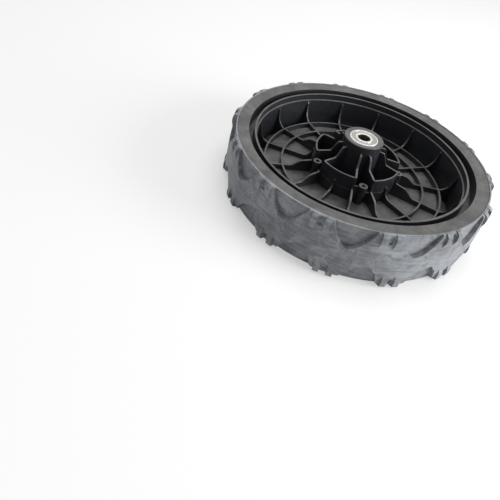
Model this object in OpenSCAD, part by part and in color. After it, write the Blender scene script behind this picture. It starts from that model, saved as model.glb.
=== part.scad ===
/* [Tyre] */
// Diameter over the tread
tyre_d = 254; // [248:0.5:260]
// Width from sidewall to sidewall, the raised bars included
tyre_w = 58; // [56:0.5:60]
// How far the bars stand out of the sidewall and of the tread
bar_rise = 1.2; // [0.6:0.1:1.6]
// Shoulder recesses on each side
recess_count = 14; // [12:1:16]
// Length of a recess along the tyre's edge
recess_len = 35; // [30:0.5:38]
// How far a recess reaches in from the tyre's side
recess_reach = 22.5; // [16:0.5:26]
// Radial depth of a recess below the tread
recess_depth = 4.2; // [2.5:0.1:4.6]
// Angle of the first recess on the ribbed side
recess_angle = -8; // [-180:0.5:180]
// Angle that the far side's recesses are turned about
recess_flip = -9.6; // [-180:0.1:180]
// Width of rubber beside the wheel centre's flange
lip_w = 5; // [4:0.1:6]

/* [Wheel centre] */
// Width of the side flange
flange_w = 11.3; // [9:0.1:12]
// Width of the groove between flange and barrel
groove_w = 5.8; // [5:0.1:8]
// Depth of the groove between flange and barrel
groove_depth = 12; // [6:0.5:14]
// Thickness of the barrel beside the groove
barrel_wall = 2; // [1.6:0.1:2.4]
// Step in from the barrel's mouth to its ledge
ledge_step = 1.2; // [0.8:0.1:2]
// Thickness of the barrel inside the tyre
seat_wall = 4.3; // [4:0.1:5]
// Height of the web's upper face
web_z = 20; // [19.5:0.1:21]
// Thickness of the web
web_t = 2.2; // [1.6:0.1:2.6]
// Thickness of ribs and fins
rib_t = 1.8; // [1.4:0.1:2.4]
// Height of the low ribs above the web
rib_h = 5.5; // [4:0.5:7]
// Distance between the two ring ribs
ring_apart = 17.2; // [12:0.2:20]
// Width of the sloping part of the web
cone_w = 13.7; // [12:0.1:16]

/* [Hub] */
// Spokes, each a screw boss between two fins
spoke_count = 5; // [4:1:6]
// Angle of the first spoke
spoke_angle = -19.5; // [-180:0.5:180]
// Half angle between the two fins of a spoke
fin_half_angle = 12; // [10:0.5:14]
// Radius of the hub tube at its ribbed end
hub_r = 19.2; // [18:0.1:20.5]
// Height of the bearing's outer face on the covered side
bearing_low_z = 13.2; // [12:0.1:15]
// Height of the bearing's outer face on the ribbed side
bearing_high_z = 65.8; // [62:0.1:68]
// Radius of the circle of screw bosses
boss_pitch_r = 42.4; // [40:0.2:46]
// Outer radius of a screw boss
boss_r = 4.2; // [3.4:0.1:5]
// Radius of the screw's pilot hole
pilot_r = 1.8; // [1.2:0.1:2.4]
// Height of a screw boss
boss_z = 39.7; // [36:0.5:44]

/* [Cover] */
// Gap between the cover's edge and the rim
cover_gap = 0.7; // [0.4:0.1:1.2]
// Thickness of the cover
cover_t = 2; // [1.6:0.1:2.2]
// Width of a window in the cover's edge
window_w = 13.8; // [10:0.2:18]
// Depth of a window from the cover's edge
window_deep = 6.6; // [4:0.1:8]
// Width of a slot beside the hub
slot_w = 8.8; // [6:0.2:10]
// Length of a slot beside the hub
slot_len = 8.4; // [5:0.2:10]

/* [Bearings] */
// Bore of a bearing
bore_d = 12; // [12:0.5:13]
// Outside diameter of a bearing
bearing_d = 28; // [28:0.5:29]
// Width of a bearing
bearing_w = 8; // [7.5:0.1:9]
// Balls in a bearing
ball_count = 8; // [7:1:8]
// Diameter of a ball
ball_d = 4.762; // [4.6:0.001:4.8]
// Radial clearance between a ball and its races
race_play = 0.07; // [0.04:0.01:0.1]

/* [Show] */
// Piece to draw

/* [Hidden] */
$fn = 96;

tyre_grey = [0.56, 0.58, 0.61];
plastic_black = [0.20, 0.20, 0.21];
plastic_grey = [0.42, 0.42, 0.41];
steel = [0.80, 0.80, 0.79];
shield_grey = [0.50, 0.50, 0.49];

tyre_r = tyre_d / 2;
flange_r = tyre_r - lip_w;
groove_r = flange_r - flange_w;
barrel_r = groove_r - groove_w - barrel_wall;
ledge_r = barrel_r - ledge_step;
seat_r = ledge_r + seat_wall;
rim_bore_r = ledge_r + 1.6;
side_z = 0.8;
lip_z = tyre_w - 0.4;
flange_z = tyre_w - 0.8;
flange_t = 2.4;
barrel_top_z = tyre_w - 3.7;
groove_z = barrel_top_z - groove_depth;
groove_wall = 2.2;
rim_end_z = 3.5;
hook_r = seat_r - 1.4;
ledge_z = tyre_w - 10.6;
rib_z = web_z + rib_h;
cone_r = ledge_r - cone_w;
cone_drop = cone_w * 0.642;
outer_ring_r = cone_r + 1.2;
inner_ring_r = outer_ring_r - ring_apart;
wall_r = boss_pitch_r - 0.8;
cover_r = rim_bore_r - cover_gap;
cover_step_r = cone_r - 1.5;
window_r = cover_r - window_deep;
tab_gap = 1.2;
cover_edge_z = 5;
cover_flat_z = cover_edge_z + 9.3;
cover_mid_z = cover_flat_z + 1;
seat_ring_r = [cone_r - 6, cone_r - 3];
bearing_r = bearing_d / 2;
bore_r = bore_d / 2;
hub_low_r = 18.2;
hub_end_z = cover_edge_z;
hub_mouth_r = 16.6;
cover_hole_r = 20.6;
ball_r = ball_d / 2;
pitch_r = (bore_r + bearing_r) / 2;
race_r = ball_r + race_play;
low_mid_z = bearing_low_z + bearing_w / 2;
high_mid_z = bearing_high_z - bearing_w / 2;
spoke_step = 360 / spoke_count;
recess_step = 360 / recess_count;
recess_half_angle = asin(recess_len / tyre_d);

// points of a smooth drop from p to q, level at both ends
function ease(p, q, n = 8) =
    [for (i = [0:n]) [p.x + (q.x - p.x) * i / n, p.y + (q.y - p.y) * (1 - cos(180 * i / n)) / 2]];

// points of an arc about c
function arc(c, r, from, to, n = 6) =
    [for (i = [0:n]) let (a = from + (to - from) * i / n) [c.x + r * cos(a), c.y + r * sin(a)]];

// points of a curve from a to c drawn towards b
function bend(a, b, c, n = 6) =
    [for (i = [0:n]) let (t = i / n) a * (1 - t) * (1 - t) + 2 * b * t * (1 - t) + c * t * t];

module ring(r_in, r_out, z0, z1) {
    translate([0, 0, z0])
        rotate_extrude()
            translate([r_in, 0])
                square([r_out - r_in, z1 - z0]);
}

// an upright plate in the half plane at angle a, its outline given as radius and height
module plate(a, t, outline) {
    rotate([0, 0, a])
        translate([0, t / 2, 0])
            rotate([90, 0, 0])
                linear_extrude(t)
                    polygon(outline);
}

// a slice of a ring between two angles, its outline given as radius and height
module slice(a0, a1, outline) {
    rotate([0, 0, a0])
        rotate_extrude(angle = a1 - a0)
            polygon(outline);
}

/* Tyre */

// section of the solid tyre: hooked over the rim's end, stepped round the groove's wall
tyre_section = concat(
    [[hook_r, side_z], [hook_r, rim_end_z], [seat_r, rim_end_z], [seat_r, groove_z - 2]],
    [[groove_r + groove_wall, groove_z - 2], [groove_r + groove_wall, flange_z - flange_t]],
    [[flange_r + 0.2, flange_z - flange_t], [flange_r + 0.2, lip_z]],
    bend([tyre_r - 3.2, lip_z], [tyre_r - 1.4, lip_z], [tyre_r - 1, lip_z - 3.4]),
    bend([tyre_r - 0.7, lip_z - 8], [tyre_r, tyre_w * 0.72], [tyre_r, tyre_w * 0.6]),
    bend([tyre_r, tyre_w * 0.4], [tyre_r, tyre_w * 0.28], [tyre_r - 0.7, side_z + 8]),
    bend([tyre_r - 1, side_z + 4.2], [tyre_r - 1.6, side_z + 0.6], [tyre_r - 5.8, side_z]));

// what lies outside the floor of the recesses
recess_space = [[tyre_r - 3.4, tyre_w + 2], [tyre_r - 3.4, lip_z], [tyre_r - recess_depth, lip_z - 8],
    [tyre_r - recess_depth, side_z + 10], [tyre_r - 5.6, side_z], [tyre_r - 5.6, -2],
    [tyre_r + 6, -2], [tyre_r + 6, tyre_w + 2]];

// one recess: a steep side, a round corner and a long slant back to the tyre's edge
recess_lean = 8.6;
recess_corner_r = 5;
recess_outline = let (low = tyre_w - recess_reach, c = [recess_lean + recess_corner_r, low + recess_corner_r])
    concat(
        [[-1, tyre_w + 3], [0, tyre_w - 1.6], [recess_lean * 0.55, tyre_w - recess_reach * 0.66]],
        arc(c, recess_corner_r, 190, 275),
        bend([c.x + 4, low + 1.6], [recess_len * 0.72, low + 5], [recess_len - 3, tyre_w - 5]),
        [[recess_len + 1, tyre_w + 3]]);

module recess_prisms() {
    for (i = [0:recess_count - 1])
        rotate([0, 0, recess_angle + i * recess_step + recess_half_angle])
            translate([tyre_r - 3 * recess_depth, -recess_len / 2, 0])
                rotate([90, 0, 90])
                    linear_extrude(5 * recess_depth)
                        polygon(recess_outline);
}

// the far side's recesses are the near side's, turned half round about one of the tyre's radii
module recesses() {
    intersection() {
        rotate_extrude()
            polygon(recess_space);
        union() {
            recess_prisms();
            translate([0, 0, tyre_w])
                rotate([0, 0, recess_flip])
                    rotate([180, 0, 0])
                        rotate([0, 0, -recess_flip])
                            recess_prisms();
        }
    }
}

bar_angle = 2.3;
bar_apart = 2.6;
pair_before = 4.9;

bar_top = [[tyre_r - 4, tyre_w - 9], [tyre_r - 3.6, tyre_w], [tyre_r - 1.6, tyre_w],
    [tyre_r + bar_rise * 0.6, tyre_w - 2], [tyre_r + bar_rise, tyre_w - 4.5],
    [tyre_r + bar_rise, tyre_w - 8], [tyre_r - 0.4, tyre_w - 14], [tyre_r - 3, tyre_w - 14]];

bar_foot = [[tyre_r - 16, side_z + 1], [tyre_r - 15, 0], [tyre_r - 3.6, 0],
    [tyre_r + bar_rise * 0.6, 2], [tyre_r + bar_rise, 4.5],
    [tyre_r + bar_rise, 8], [tyre_r - 0.4, 14], [tyre_r - 3, 14], [tyre_r - 6, side_z + 3]];

slot_top = [[tyre_r - 2, tyre_w - 9.4], [tyre_r - 2, tyre_w + 1], [tyre_r + 3, tyre_w + 1], [tyre_r + 3, tyre_w - 9.4]];
slot_foot = [[tyre_r - 2.4, 9.4], [tyre_r - 2.4, 2.2], [tyre_r - 9, 2.2], [tyre_r - 9, -1], [tyre_r + 3, -1], [tyre_r + 3, 9.4]];

module bar_pair(outline) {
    for (side = [-1, 1])
        slice(side * bar_apart - bar_angle / 2, side * bar_apart + bar_angle / 2, outline);
}

module tyre() {
    color(tyre_grey)
        difference() {
            union() {
                difference() {
                    rotate_extrude()
                        polygon(tyre_section);
                    recesses();
                }
                for (i = [0:recess_count - 1]) {
                    rotate([0, 0, recess_angle + i * recess_step - pair_before])
                        bar_pair(bar_top);
                    rotate([0, 0, 2 * recess_flip - recess_angle + i * recess_step + pair_before])
                        bar_pair(bar_foot);
                }
            }
            for (i = [0:recess_count - 1]) {
                rotate([0, 0, recess_angle + i * recess_step - pair_before])
                    slice(-0.7, 0.7, slot_top);
                rotate([0, 0, 2 * recess_flip - recess_angle + i * recess_step + pair_before])
                    slice(-0.7, 0.7, slot_foot);
            }
        }
}

/* Wheel centre */

// barrel, groove and flange in one section
rim_section = [
    [ledge_r, web_z - cone_drop], [ledge_r, ledge_z], [barrel_r, ledge_z + 0.6], [barrel_r, barrel_top_z],
    [barrel_r + barrel_wall, barrel_top_z], [barrel_r + barrel_wall + 0.4, groove_z],
    [groove_r - 0.3, groove_z], [groove_r, flange_z - 1], [flange_r - 7, flange_z - 0.4], [flange_r, flange_z],
    [flange_r, flange_z - flange_t], [groove_r + groove_wall, flange_z - flange_t],
    [groove_r + groove_wall, groove_z - 2], [seat_r, groove_z - 2], [seat_r, rim_end_z],
    [cover_r + cover_gap, rim_end_z], [cover_r + cover_gap, web_z - web_t - cone_drop - 1.4],
    [ledge_r, web_z - web_t - cone_drop + 0.1]];

// web: flat out to the cone, then down to the barrel beside the cover
web_section = [
    [hub_r - 2, web_z - web_t], [cone_r, web_z - web_t], [ledge_r + 0.6, web_z - web_t - cone_drop],
    [ledge_r + 0.6, web_z - cone_drop], [cone_r, web_z], [hub_r - 2, web_z]];

// hub tube: seats for both bearings and a shoulder between them
hub_section = [
    [bearing_r, bearing_low_z], [bearing_r, bearing_low_z + bearing_w], [bearing_r - 1.5, bearing_low_z + bearing_w],
    [bearing_r - 1.5, bearing_high_z - bearing_w], [bearing_r, bearing_high_z - bearing_w],
    [bearing_r, bearing_high_z - 0.4], [bearing_r + 0.4, bearing_high_z],
    [hub_r - 0.6, bearing_high_z], [hub_r, bearing_high_z - 0.6], [hub_r + 1.2, web_z],
    [hub_r + 1.2, web_z - web_t], [hub_low_r, hub_end_z + 0.4], [hub_low_r - 0.4, hub_end_z],
    [hub_mouth_r + 0.3, hub_end_z], [hub_mouth_r, hub_end_z + 0.4], [hub_mouth_r, bearing_low_z]];

// a tall fin's top edge falls from the hub to a shelf, to a second shelf and to the ribs
fin_top_z = bearing_high_z - 7.2;
shelf_z = web_z + 26.2;
second_z = web_z + 12.6;
fin_outline = concat(
    [[hub_r - 1, web_z - 1], [hub_r - 1, fin_top_z]],
    ease([hub_r + 3.4, fin_top_z], [hub_r + 10.6, shelf_z + 1.4]),
    ease([wall_r - 0.6, shelf_z], [wall_r + 2.8, second_z + 1.4], 6),
    ease([wall_r + 10.4, second_z], [inner_ring_r - 7, rib_z]),
    [[outer_ring_r, rib_z], [outer_ring_r, web_z - 1.6], [cone_r, web_z - 1]]);

// a low rib starts in a curved foot on the ring wall
low_rib_outline = concat(
    [[wall_r, web_z - 1], [wall_r, web_z + 16.4]],
    bend([wall_r + 1.6, web_z + 16.2], [wall_r + 2.6, rib_z + 0.4], [wall_r + 10, rib_z]),
    [[outer_ring_r, rib_z], [outer_ring_r, web_z - 1.6], [cone_r, web_z - 1]]);

// a gusset sweeps from the outer ring rib up the barrel to the ledge
gusset_outline = concat(
    [[outer_ring_r - 1, web_z - 1], [outer_ring_r - 1, rib_z]],
    bend([outer_ring_r + 1, rib_z], [ledge_r - 3, rib_z + 2], [ledge_r - 1, ledge_z - 4], 8),
    [[ledge_r + 0.6, ledge_z], [ledge_r + 0.6, web_z - cone_drop - 1], [cone_r + 2, web_z - 2.4]]);

module rib_rings() {
    for (r = [inner_ring_r, outer_ring_r])
        ring(r - rib_t / 2, r + rib_t / 2, web_z - (r > cone_r ? 2.4 : 1), rib_z);
}

// a length of the ring wall, drawn in by a little so that it rises out of the one below
module wall_piece(a0, a1, z0, z1, draw) {
    half = rib_t / 2 - draw;
    slice(a0, a1, [[wall_r - half, z0], [wall_r + half, z0], [wall_r + half, z1], [wall_r - half, z1]]);
}

module hub_star() {
    ring(wall_r - rib_t / 2, wall_r + rib_t / 2, web_z - 1, web_z + 12);
    for (i = [0:spoke_count - 1]) {
        a = spoke_angle + i * spoke_step;
        plate(a - fin_half_angle, rib_t, fin_outline);
        plate(a + fin_half_angle, rib_t, fin_outline);
        plate(a + spoke_step / 2, rib_t, low_rib_outline);
        wall_piece(a + fin_half_angle, a + spoke_step - fin_half_angle, web_z + 11, shelf_z, 0.12);
        wall_piece(a - fin_half_angle, a, web_z + 11, boss_z - 2, 0.06);
        for (step = [-fin_half_angle, fin_half_angle, spoke_step / 2])
            plate(a + step, rib_t, gusset_outline);
    }
}

module bosses() {
    for (i = [0:spoke_count - 1])
        rotate([0, 0, spoke_angle + i * spoke_step])
            translate([boss_pitch_r, 0, web_z - 1])
                cylinder(r = boss_r, h = boss_z - web_z + 1);
}

module pilot_holes() {
    for (i = [0:spoke_count - 1])
        rotate([0, 0, spoke_angle + i * spoke_step])
            translate([boss_pitch_r, 0, web_z + 2])
                cylinder(r = pilot_r, h = boss_z);
}

// tabs that stand in the cover's windows
module window_tabs() {
    for (i = [0:spoke_count - 1])
        rotate([0, 0, spoke_angle + spoke_step / 2 + i * spoke_step])
            translate([window_r + tab_gap, tab_gap - window_w / 2, web_z - web_t - cone_drop - 0.8])
                cube([ledge_r - window_r - tab_gap - 0.1, window_w - 2 * tab_gap, 2 * web_t]);
}

module wheel_centre() {
    color(plastic_black)
        difference() {
            union() {
                rotate_extrude()
                    polygon(rim_section);
                rotate_extrude()
                    polygon(web_section);
                rotate_extrude()
                    polygon(hub_section);
                ring(seat_ring_r[0], seat_ring_r[1], cover_flat_z + cover_t, web_z - 1);
                rib_rings();
                hub_star();
                bosses();
                window_tabs();
            }
            pilot_holes();
        }
}

/* Cover */

cover_section = concat(
    [[cover_hole_r, cover_mid_z + cover_t], [cover_hole_r, cover_mid_z - 0.4]],
    arc([cover_hole_r + 0.9, cover_mid_z - 0.4], 0.9, 180, 330, 6),
    [[cover_hole_r + 3.6, cover_mid_z], [cover_step_r - 1.5, cover_flat_z]],
    bend([cover_step_r - 1.5, cover_flat_z], [cover_step_r, cover_flat_z], [cover_step_r + 1.2, cover_flat_z - 1]),
    [[cover_r - 1.6, cover_edge_z + 0.1], [cover_r - 0.5, cover_edge_z], [cover_r, cover_edge_z + 0.5]],
    [[cover_r, cover_edge_z + cover_t], [cover_step_r + 0.4, cover_flat_z + cover_t],
        [seat_ring_r[0] - 2, cover_flat_z + cover_t]]);

module outer_cover() {
    color(plastic_grey)
        difference() {
            rotate_extrude()
                polygon(cover_section);
            for (i = [0:spoke_count - 1])
                rotate([0, 0, spoke_angle + spoke_step / 2 + i * spoke_step])
                    translate([window_r, -window_w / 2, 0])
                        cube([window_deep * 1.5, window_w, cover_mid_z]);
            for (i = [0, 2])
                rotate([0, 0, spoke_angle + spoke_step / 2 - fin_half_angle - i * spoke_step])
                    translate([cover_hole_r - 2, -slot_w / 2, cover_edge_z])
                        cube([slot_len + 2, slot_w, cover_mid_z]);
        }
}

/* Bearings */

module outer_ring(mid_z) {
    land_r = pitch_r + race_r - 1;
    half = bearing_w / 2;
    color(steel)
        translate([0, 0, mid_z])
            difference() {
                rotate_extrude()
                    polygon([[bearing_r - 0.4, -half], [bearing_r, 0.4 - half], [bearing_r, half - 0.4], [bearing_r - 0.4, half],
                        [land_r + 0.9, half], [land_r + 0.7, half - 1.1], [land_r, half - 1.3],
                        [land_r, 1.3 - half], [land_r + 0.7, 1.1 - half], [land_r + 0.9, -half]]);
                rotate_extrude()
                    translate([pitch_r, 0])
                        circle(r = race_r, $fn = 48);
            }
}

module inner_ring(mid_z) {
    half = bearing_w / 2;
    land_r = pitch_r - race_r + 0.95;
    color(steel)
        translate([0, 0, mid_z])
            difference() {
                rotate_extrude()
                    polygon([[bore_r, 0.4 - half], [bore_r + 0.4, -half], [land_r - 0.2, -half], [land_r, 0.2 - half],
                        [land_r, half - 0.2], [land_r - 0.2, half], [bore_r + 0.4, half], [bore_r, half - 0.4]]);
                rotate_extrude()
                    translate([pitch_r, 0])
                        circle(r = race_r, $fn = 48);
            }
}

module balls(mid_z) {
    color(steel)
        for (i = [0:ball_count - 1])
            rotate([0, 0, i * 360 / ball_count])
                translate([pitch_r, 0, mid_z])
                    sphere(r = ball_r, $fn = 32);
}

// half of a riveted ribbon cage: a flat ring with a half pocket over each ball
cage_in = 0.85;
cage_out = 0.85;
cage_t = 0.4;

module cage_half(mid_z, up) {
    color(steel)
        translate([0, 0, mid_z])
            mirror([0, 0, up ? 0 : 1])
                difference() {
                    intersection() {
                        union() {
                            ring(pitch_r - cage_in, pitch_r + cage_out, 0, cage_t);
                            for (i = [0:ball_count - 1])
                                rotate([0, 0, i * 360 / ball_count])
                                    translate([pitch_r, 0, 0])
                                        sphere(r = ball_r + 0.32, $fn = 32);
                        }
                        ring(pitch_r - cage_in, pitch_r + cage_out, 0, ball_r + 1);
                    }
                    for (i = [0:ball_count - 1])
                        rotate([0, 0, i * 360 / ball_count])
                            translate([pitch_r, 0, 0])
                                sphere(r = ball_r + 0.08, $fn = 32);
                    for (i = [0:ball_count - 1])
                        rotate([0, 0, (i + 0.5) * 360 / ball_count])
                            translate([pitch_r, 0, -1])
                                cylinder(r = 0.35, h = 3, $fn = 24);
                }
}

module cage_rivets(mid_z) {
    color(steel)
        for (i = [0:ball_count - 1])
            rotate([0, 0, (i + 0.5) * 360 / ball_count])
                translate([pitch_r, 0, mid_z]) {
                    cylinder(r = 0.35, h = 2 * cage_t + 0.2, center = true, $fn = 24);
                    for (side = [0, 1])
                        mirror([0, 0, side])
                            translate([0, 0, cage_t])
                                cylinder(r = 0.6, h = 0.3, $fn = 24);
                }
}

// pressed steel shield, its rim curled into the outer ring and its inside just clear of the inner ring
module shield(face_z, up) {
    outer = pitch_r + race_r - 0.3;
    inner = pitch_r - race_r + 1.05;
    color(shield_grey)
        translate([0, 0, face_z])
            mirror([0, 0, up ? 0 : 1])
                rotate_extrude()
                    polygon([[inner, -0.8], [inner, -0.45], [outer - 0.9, -0.45], [outer - 0.6, -0.2], [outer - 0.2, -0.2],
                        [outer + 0.1, -0.4], [outer + 0.02, -0.95], [outer - 0.5, -0.95], [outer - 0.8, -0.8]]);
}

module spacer_sleeve() {
    color(steel)
        translate([0, 0, bearing_low_z + bearing_w])
            difference() {
                cylinder(r = bore_r + 2.4, h = bearing_high_z - bearing_low_z - 2 * bearing_w);
                translate([0, 0, -1])
                    cylinder(r = bore_r + 0.2, h = bearing_high_z);
            }
}

tyre();
wheel_centre();
outer_cover();
spacer_sleeve();
outer_ring(low_mid_z);  // low_outer_ring
inner_ring(low_mid_z);  // low_inner_ring
balls(low_mid_z);  // low_balls
cage_half(low_mid_z, true);  // low_cage_upper
cage_half(low_mid_z, false);  // low_cage_lower
cage_rivets(low_mid_z);  // low_cage_rivets
shield(bearing_low_z + bearing_w, true);  // low_shield_upper
shield(bearing_low_z, false);  // low_shield_lower
outer_ring(high_mid_z);  // high_outer_ring
inner_ring(high_mid_z);  // high_inner_ring
balls(high_mid_z);  // high_balls
cage_half(high_mid_z, true);  // high_cage_upper
cage_half(high_mid_z, false);  // high_cage_lower
cage_rivets(high_mid_z);  // high_cage_rivets
shield(bearing_high_z, true);  // high_shield_upper
shield(bearing_high_z - bearing_w, false);  // high_shield_lower
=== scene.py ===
"""Finishes a garden machine's drive wheel: tyre, wheel centre, cover, bearings, floor, light and camera."""

import bpy
import numpy as np
from bpy.props import FloatProperty, FloatVectorProperty, PointerProperty
from bpy.types import Operator, Panel, PropertyGroup
from mathutils import Matrix

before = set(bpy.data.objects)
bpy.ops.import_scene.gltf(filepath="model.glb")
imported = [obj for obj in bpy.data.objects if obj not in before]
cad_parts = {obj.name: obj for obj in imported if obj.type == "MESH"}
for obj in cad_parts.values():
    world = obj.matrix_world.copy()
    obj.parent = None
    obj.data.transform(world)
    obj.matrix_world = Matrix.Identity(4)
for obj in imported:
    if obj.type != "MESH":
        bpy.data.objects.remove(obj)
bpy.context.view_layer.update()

bl_info = {
    "name": "Drive wheel finish",
    "version": (1, 0, 0),
    "blender": (4, 5, 0),
    "location": "View3D > Sidebar > Drive Wheel",
    "description": "Finishes the pieces of a garden machine's drive wheel",
    "category": "Object",
}



def colour_property(name, description, default):
    """A linear colour that the panel shows as a swatch."""
    return FloatVectorProperty(
        name=name, description=description, subtype="COLOR", size=3, default=default, min=0, max=1)


def length_property(name, description, default):
    """A length in metres."""
    return FloatProperty(
        name=name, description=description, default=default, min=0, unit="LENGTH", precision=5)


class TyreSettings(PropertyGroup):
    """Colours of the tyre."""

    dark: colour_property("Rubber", "Rubber where it is rubbed clean", (0.085, 0.092, 0.105))
    dust: colour_property("Dust", "Dry dust and scuffs on the rubber", (0.30, 0.315, 0.335))


class CentreSettings(PropertyGroup):
    """Colours of the ribbed wheel centre."""

    plastic: colour_property("Plastic", "Moulded plastic", (0.018, 0.019, 0.023))
    # Paler colour of faces that look up: partly dust, partly painted light from above.
    dust: colour_property("Dust", "Dust that lies on faces that look up", (0.16, 0.157, 0.148))


class CoverSettings(PropertyGroup):
    """Colours of the cover."""

    plastic: colour_property("Plastic", "Moulded plastic", (0.035, 0.036, 0.037))
    dust: colour_property("Dust", "Fine dust and rub marks", (0.12, 0.12, 0.116))


class BearingSettings(PropertyGroup):
    """Colours of the bearings."""

    steel: colour_property("Rings", "Ground steel", (0.78, 0.77, 0.74))
    shield: colour_property("Shields", "Pressed shields", (0.40, 0.395, 0.375))
    stain: colour_property("Stain", "Old grease in the bore", (0.20, 0.165, 0.12))


class StageSettings(PropertyGroup):
    """Floor, light and camera."""

    floor_size: length_property("Floor", "Width of the floor", 6.0)
    floor: colour_property("Floor colour", "Colour of the floor", (0.93, 0.93, 0.925))
    sky: FloatProperty(
        name="Sky", description="Strength of the world as it lights the wheel", default=0.35, min=0, max=1)
    lens: FloatProperty(
        name="Lens", description="Focal length in millimetres on a 36 mm wide sensor", default=35.51, min=1)


class Value:
    """A number socket of a finish, on which +, -, * and ** add Math nodes."""

    def __init__(self, finish, socket):
        self.finish = finish
        self.socket = socket

    def math(self, operation, *rest):
        node = self.finish.node("ShaderNodeMath", {"operation": operation}, dict(enumerate((self, *rest))))
        return Value(self.finish, node.outputs[0])

    def __add__(self, other):
        return self.math("ADD", other)

    def __sub__(self, other):
        return self.math("SUBTRACT", other)

    def __mul__(self, other):
        return self.math("MULTIPLY", other)

    def __pow__(self, other):
        return self.math("POWER", other)

    def __rsub__(self, other):
        node = self.finish.node("ShaderNodeMath", {"operation": "SUBTRACT"}, {0: other, 1: self})
        return Value(self.finish, node.outputs[0])

    __radd__ = __add__
    __rmul__ = __mul__

    def step(self, low, high):
        """0 below low, 1 above high and smooth between."""
        ends = {"Value": self, "From Min": low, "From Max": high}
        node = self.finish.node("ShaderNodeMapRange", {"interpolation_type": "SMOOTHSTEP"}, ends)
        return Value(self.finish, node.outputs["Result"])


class Nodes:
    """A tree of nodes, every one of which is made by its node method."""

    def __init__(self, tree):
        self.tree = tree

    def node(self, kind, settings, sockets):
        """Adds a node, sets it up, then gives its sockets their values or links."""
        node = self.tree.nodes.new(kind)
        for name, value in settings.items():
            setattr(node, name, value)
        for name, value in sockets.items():
            value = getattr(value, "socket", value)
            if isinstance(value, bpy.types.NodeSocket):
                self.tree.links.new(value, node.inputs[name])
            else:
                opaque = node.inputs[name].type == "RGBA" and len(value) == 3
                node.inputs[name].default_value = (*value, 1) if opaque else value
        return node

    def number(self, kind, settings, sockets, output=0):
        return Value(self, self.node(kind, settings, sockets).outputs[output])

    def seen(self, by_gloss):
        """1 for the camera's rays, by_gloss for reflected and refracted rays, 0 for those that light."""
        path = self.node("ShaderNodeLightPath", {}, {}).outputs
        kinds = ("Is Camera Ray", "Is Glossy Ray", "Is Transmission Ray")
        camera, glossy, through = (Value(self, path[kind]) for kind in kinds)
        return camera + (glossy + through) * by_gloss


class Finish(Nodes):
    """A material under construction, round one principled surface."""

    def __init__(self, name, **surface):
        self.material = bpy.data.materials.new(name)
        self.material.use_nodes = True
        super().__init__(self.material.node_tree)
        self.tree.nodes.clear()
        self.surface = self.node("ShaderNodeBsdfPrincipled", {}, {})
        for socket, value in surface.items():
            self.surface.inputs[socket.replace("_", " ")].default_value = value
        self.output = self.node("ShaderNodeOutputMaterial", {}, {"Surface": self.surface.outputs[0]})

    def place(self):
        """Object coordinates in metres."""
        return self.node("ShaderNodeTexCoord", {}, {}).outputs["Object"]

    def stretched(self, place, scale, turn=(0, 0, 0)):
        """A place turned, then scaled along its axes."""
        sockets = {"Vector": place, "Scale": scale, "Rotation": turn}
        return self.node("ShaderNodeMapping", {"vector_type": "POINT"}, sockets).outputs[0]

    def noise(self, place, scale, detail=4.0, roughness=0.55, distortion=0.0):
        sockets = {"Vector": place, "Scale": scale, "Detail": detail, "Roughness": roughness,
                   "Distortion": distortion}
        return self.number("ShaderNodeTexNoise", {}, sockets)

    def mix(self, factor, first, second, blend="MIX"):
        """A colour between two colours."""
        settings = {"data_type": "RGBA", "blend_type": blend}
        return self.node("ShaderNodeMix", settings, {0: factor, 6: first, 7: second}).outputs[2]

    def axial(self):
        """Distance from the wheel's axis, height, and how far a face looks up."""
        place = self.node("ShaderNodeSeparateXYZ", {}, {0: self.place()})
        x, y, z = (Value(self, out) for out in place.outputs)
        normal = self.node("ShaderNodeTexCoord", {}, {}).outputs["Normal"]
        up = self.node("ShaderNodeSeparateXYZ", {}, {0: normal})
        return (x * x + y * y) ** 0.5, z, Value(self, up.outputs[2])

    def scratches(self, place, scale, width, seed):
        """Thin broken lines: edges of large cells, kept where a noise allows."""
        sockets = {"Vector": place, "Location": (seed, seed * 2, seed * 3)}
        moved = self.node("ShaderNodeMapping", {}, sockets).outputs[0]
        cells = {"Vector": moved, "Scale": scale, "Randomness": 1.0}
        edge = self.number("ShaderNodeTexVoronoi", {"feature": "DISTANCE_TO_EDGE"}, cells, "Distance")
        return (1 - edge.step(0, width)) * self.noise(moved, scale * 1.7, 2).step(0.5, 0.6)

    def turned(self, radius, z, lines):
        """Fine rings round the axis: a noise that changes with distance from it, or with height."""
        sockets = {0: radius * lines} if z is None else {0: radius * lines, 1: z * lines}
        return self.noise(self.node("ShaderNodeCombineXYZ", {}, sockets).outputs[0], 1.0, 3, 0.7)

    def relief(self, height, distance, round_edges=0.0):
        """Links a bump of a height, in metres, over edges rounded to a radius."""
        sockets = {"Height": height, "Distance": distance, "Strength": 1.0}
        if round_edges:
            rounded = self.node("ShaderNodeBevel", {"samples": 4}, {"Radius": round_edges})
            sockets["Normal"] = rounded.outputs[0]
        bump = self.node("ShaderNodeBump", {}, sockets)
        self.tree.links.new(bump.outputs[0], self.surface.inputs["Normal"])

    def link(self, name, value):
        """Links the surface's own socket to something that varies over the piece."""
        self.tree.links.new(getattr(value, "socket", value), self.surface.inputs[name])


def dress(material, *nodes):
    """Gives CAD nodes a material."""
    for name in nodes:
        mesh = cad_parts[name].data
        mesh.materials.clear()
        mesh.materials.append(material)


def flat_sheet(name, width, cells):
    """A level square: x and y run over an even grid and z is 0."""
    side = np.linspace(-width / 2, width / 2, cells + 1)
    x, y = np.meshgrid(side, side, indexing="xy")
    points = np.stack([x, y, np.zeros_like(x)], 2)
    i, j = (a.ravel() for a in np.meshgrid(np.arange(cells), np.arange(cells), indexing="ij"))
    corner = i * (cells + 1) + j
    faces = np.stack([corner, corner + 1, corner + cells + 2, corner + cells + 1], 1)
    mesh = bpy.data.meshes.new(name)
    mesh.from_pydata(points.reshape(-1, 3).tolist(), [], faces.tolist())
    return mesh


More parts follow.
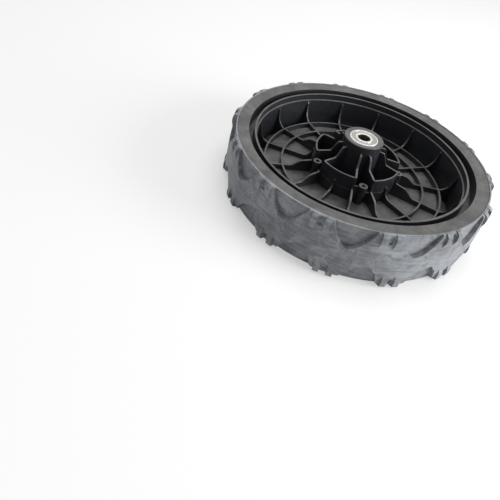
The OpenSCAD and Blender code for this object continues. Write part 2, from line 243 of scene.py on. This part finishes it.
class WHEEL_OT_tyre(Operator):
    """Gives the tyre its dusty, scuffed rubber"""

    bl_idname = "wheel.tyre"
    bl_label = "Tyre"

    def execute(self, context):
        dress(self.rubber(context.scene.wheel_tyre), "tyre")
        return {"FINISHED"}

    def rubber(self, settings):
        """Dusty, scuffed rubber: cloudy dust, streaks along the tread and fine scratches."""
        finish = Finish("dusty_rubber", Specular_IOR_Level=0.35, Sheen_Weight=0.12, Sheen_Roughness=0.6)
        place = finish.place()
        radius, z, up = finish.axial()
        clouds = finish.noise(place, 22, 6, 0.6, 0.6)
        blots = finish.noise(place, 75, 5, 0.62, 1.2)
        streaks = finish.noise(finish.stretched(place, (1, 1, 7)), 30, 5, 0.65, 1.5)
        grain = finish.noise(place, 900, 3, 0.6)
        slanted = finish.stretched(place, (1, 1, 3), (0.5, 0.3, 0.2))
        marks = finish.scratches(place, 38, 0.012, 1.3) + finish.scratches(slanted, 55, 0.016, 4.1)
        dusty = (clouds - 0.5) * 1.5 + (blots - 0.5) * 1.0 + (streaks - 0.5) * 1.3
        dusty = dusty + (grain - 0.5) * 0.35 + 0.42
        dusty = dusty + marks * 0.45 + up.step(0.6, 0.95) * 0.2
        dusty = dusty.step(-0.1, 1.1)
        smudge = finish.noise(place, 48, 4, 0.5, 2.0).step(0.58, 0.68)
        colour = finish.mix(dusty, settings.dark, settings.dust)
        colour = finish.mix(smudge * 0.45, colour, (0.05, 0.054, 0.062))
        finish.link("Base Color", colour)
        finish.link("Roughness", 0.5 + dusty * 0.25)
        finish.relief(grain * 0.5 + blots * 0.6 - marks * 0.4, 0.00025, 0.0005)
        return finish.material


class WHEEL_OT_centre(Operator):
    """Gives the ribbed wheel centre its moulded plastic, paler on faces that look up: dust, and painted light
    from above
    """

    bl_idname = "wheel.centre"
    bl_label = "Wheel centre"

    def execute(self, context):
        settings = context.scene.wheel_centre
        finish = Finish("centre_plastic", Specular_IOR_Level=0.5)
        place = finish.place()
        radius, z, up = finish.axial()
        clouds = finish.noise(place, 30, 5, 0.6, 0.8)
        specks = finish.noise(place, 700, 2, 0.5).step(0.66, 0.72)
        patches = finish.noise(place, 110, 5, 0.65, 0.7)
        turned = finish.turned(radius, None, 1500)
        # Faces that look up get the paler colour: partly dust, partly painted light from above.
        up_faces_dust_and_top_light = up.step(0.55, 0.95)
        flange = radius.step(0.1095, 0.1110) * z.step(0.0545, 0.056)
        cloudy = 0.55 + (clouds - 0.5) * 1.4 + (patches - 0.5) * 0.8
        dusty = up_faces_dust_and_top_light * cloudy + specks * 0.35 + (turned - 0.5) * flange * 0.5
        dusty = dusty.step(0.0, 1.15)
        finish.link("Base Color", finish.mix(dusty, settings.plastic, settings.dust))
        finish.link("Roughness", 0.36 + dusty * 0.22 + (patches - 0.5) * 0.12)
        finish.relief((turned - 0.5) * flange + patches * 0.5 + specks * 0.6, 0.00012, 0.0004)
        dress(finish.material, "wheel_centre")
        return {"FINISHED"}


class WHEEL_OT_cover(Operator):
    """Gives the dished cover its satin plastic"""

    bl_idname = "wheel.cover"
    bl_label = "Cover"

    def execute(self, context):
        settings = context.scene.wheel_cover
        finish = Finish("cover_plastic", Specular_IOR_Level=0.5)
        place = finish.place()
        clouds = finish.noise(place, 14, 5, 0.55, 1.2)
        specks = finish.noise(place, 620, 2, 0.5).step(0.68, 0.74)
        marks = finish.scratches(place, 30, 0.006, 2.2)
        dusty = ((clouds - 0.5) * 1.6 + 0.28 + specks * 0.5 + marks * 0.4).step(0.0, 1.2)
        finish.link("Base Color", finish.mix(dusty, settings.plastic, settings.dust))
        finish.link("Roughness", 0.34 + dusty * 0.25)
        finish.relief(finish.noise(place, 1600, 2) * 0.5 + marks * -0.6, 0.00008, 0.0004)
        dress(finish.material, "outer_cover")
        return {"FINISHED"}


class WHEEL_OT_bearings(Operator):
    """Gives rings, balls, cages, shields and sleeve their steels"""

    bl_idname = "wheel.bearings"
    bl_label = "Bearings"

    def steel(self, name, colour, stain, rough, stained):
        """Steel turned or ground round the axis, with a stain inside a radius."""
        finish = Finish(name, Metallic=1.0)
        place = finish.place()
        radius, z, up = finish.axial()
        rings = finish.turned(radius, z, 5200)
        blots = finish.noise(place, 420, 5, 0.6, 0.6)
        dirt = (blots.step(0.52, 0.72) * 0.35 + (1 - radius.step(0.0061, 0.0064)) * stained).step(0.0, 1.0)
        finish.link("Base Color", finish.mix(dirt, colour, stain))
        finish.link("Roughness", rough + (rings - 0.5) * 0.16 + dirt * 0.25)
        finish.relief(rings, 0.00003, 0.00015)
        return finish.material

    def execute(self, context):
        settings = context.scene.wheel_bearings
        ground = self.steel("ground_steel", settings.steel, settings.stain, 0.2, 0.9)
        pressed = self.steel("pressed_shield", settings.shield, settings.stain, 0.38, 0.0)
        cage = self.steel("cage_steel", settings.shield, settings.stain, 0.3, 0.0)
        for side in ("low", "high"):
            dress(ground, f"{side}_outer_ring", f"{side}_inner_ring", f"{side}_balls")
            dress(pressed, f"{side}_shield_upper", f"{side}_shield_lower")
            dress(cage, f"{side}_cage_upper", f"{side}_cage_lower", f"{side}_cage_rivets")
        dress(pressed, "spacer_sleeve")
        return {"FINISHED"}


class WHEEL_OT_stage(Operator):
    """Lays the floor, hangs the lamps and sets up the camera"""

    bl_idname = "wheel.stage"
    bl_label = "Stage"

    def lamp(self, name, place, target, size, power, colour=(1, 1, 1)):
        """A square soft lamp that looks at a point."""
        light = bpy.data.lights.new(name, "AREA")
        light.shape, light.size, light.energy, light.color = "SQUARE", size, power, colour
        lamp = bpy.data.objects.new(name, light)
        back = (np.array(place, float) - np.array(target, float))
        back /= np.linalg.norm(back)
        right = np.cross((0, 0, 1) if abs(back[2]) < 0.99 else (0, 1, 0), back)
        right /= np.linalg.norm(right)
        turn = np.stack([right, np.cross(back, right), back], 1)
        lamp.matrix_world = Matrix.Translation(place) @ Matrix(turn.tolist()).to_4x4()
        bpy.context.scene.collection.objects.link(lamp)

    def execute(self, context):
        scene, settings = context.scene, context.scene.wheel_stage
        scene.view_settings.view_transform = "Standard"

        floor = bpy.data.objects.new("floor", flat_sheet("floor", settings.floor_size, 8))
        finish = Finish("pale_floor", Roughness=0.9, Specular_IOR_Level=0.1)
        shade = finish.noise(finish.place(), 6, 3)
        finish.link("Base Color", finish.mix(shade, settings.floor, tuple(c * 0.99 for c in settings.floor)))
        glow = finish.node("ShaderNodeEmission", {}, {"Color": (1, 1, 1), "Strength": 1.0})
        lit = {0: finish.seen(0.4) * 0.45, 1: finish.surface.outputs[0], 2: glow.outputs[0]}
        both = finish.node("ShaderNodeMixShader", {}, lit)
        finish.tree.links.new(both.outputs[0], finish.output.inputs["Surface"])
        floor.data.materials.append(finish.material)
        scene.collection.objects.link(floor)

        world = bpy.data.worlds.new("studio")
        world.use_nodes = True
        sky = Nodes(world.node_tree)
        backdrop = sky.tree.nodes["Background"].inputs
        backdrop["Color"].default_value = (1, 1, 1, 1)
        strength = settings.sky + sky.seen(1.0) * (1 - settings.sky)
        sky.tree.links.new(strength.socket, backdrop["Strength"])
        scene.world = world

        self.lamp("softbox_top", (0.1, 0.25, 1.6), (0, 0, 0.03), 1.1, 14)
        self.lamp("window_right", (1.5, -0.55, 0.55), (0.05, -0.02, 0.03), 1.0, 34)

        camera = bpy.data.objects.new("camera", bpy.data.cameras.new("camera"))
        camera.data.sensor_width, camera.data.lens = 36, settings.lens
        camera.data.shift_x, camera.data.shift_y = 0.02, -0.1718
        camera.data.clip_start = 0.02
        turn = Matrix(((0.9854, -0.1372, -0.1007), (0.0, 0.5918, -0.8061), (0.1702, 0.7943, 0.5831)))
        camera.matrix_world = Matrix.Translation((-0.16187, -0.39702, 0.30150)) @ turn.to_4x4()
        scene.collection.objects.link(camera)
        scene.camera = camera
        return {"FINISHED"}


class WHEEL_PT_panel(Panel):
    """Lists the pieces and their settings"""

    bl_idname = "WHEEL_PT_panel"
    bl_label = "Drive wheel"
    bl_space_type = "VIEW_3D"
    bl_region_type = "UI"
    bl_category = "Drive Wheel"

    def draw(self, context):
        for operator, key, _ in PIECES:
            box = self.layout.box()
            settings = getattr(context.scene, key)
            for name in settings.__annotations__:
                box.prop(settings, name)
            box.operator(operator.bl_idname)


PIECES = (
    (WHEEL_OT_tyre, "wheel_tyre", TyreSettings),
    (WHEEL_OT_centre, "wheel_centre", CentreSettings),
    (WHEEL_OT_cover, "wheel_cover", CoverSettings),
    (WHEEL_OT_bearings, "wheel_bearings", BearingSettings),
    (WHEEL_OT_stage, "wheel_stage", StageSettings),
)


def register():
    for operator, key, settings in PIECES:
        bpy.utils.register_class(settings)
        bpy.utils.register_class(operator)
        setattr(bpy.types.Scene, key, PointerProperty(type=settings))
    bpy.utils.register_class(WHEEL_PT_panel)


def unregister():
    bpy.utils.unregister_class(WHEEL_PT_panel)
    for operator, key, settings in reversed(PIECES):
        delattr(bpy.types.Scene, key)
        bpy.utils.unregister_class(operator)
        bpy.utils.unregister_class(settings)


def main():
    """Makes every piece in order."""
    register()
    for name in ("tyre", "centre", "cover", "bearings", "stage"):
        getattr(bpy.ops.wheel, name)()


if __name__ == "__main__":
    main()
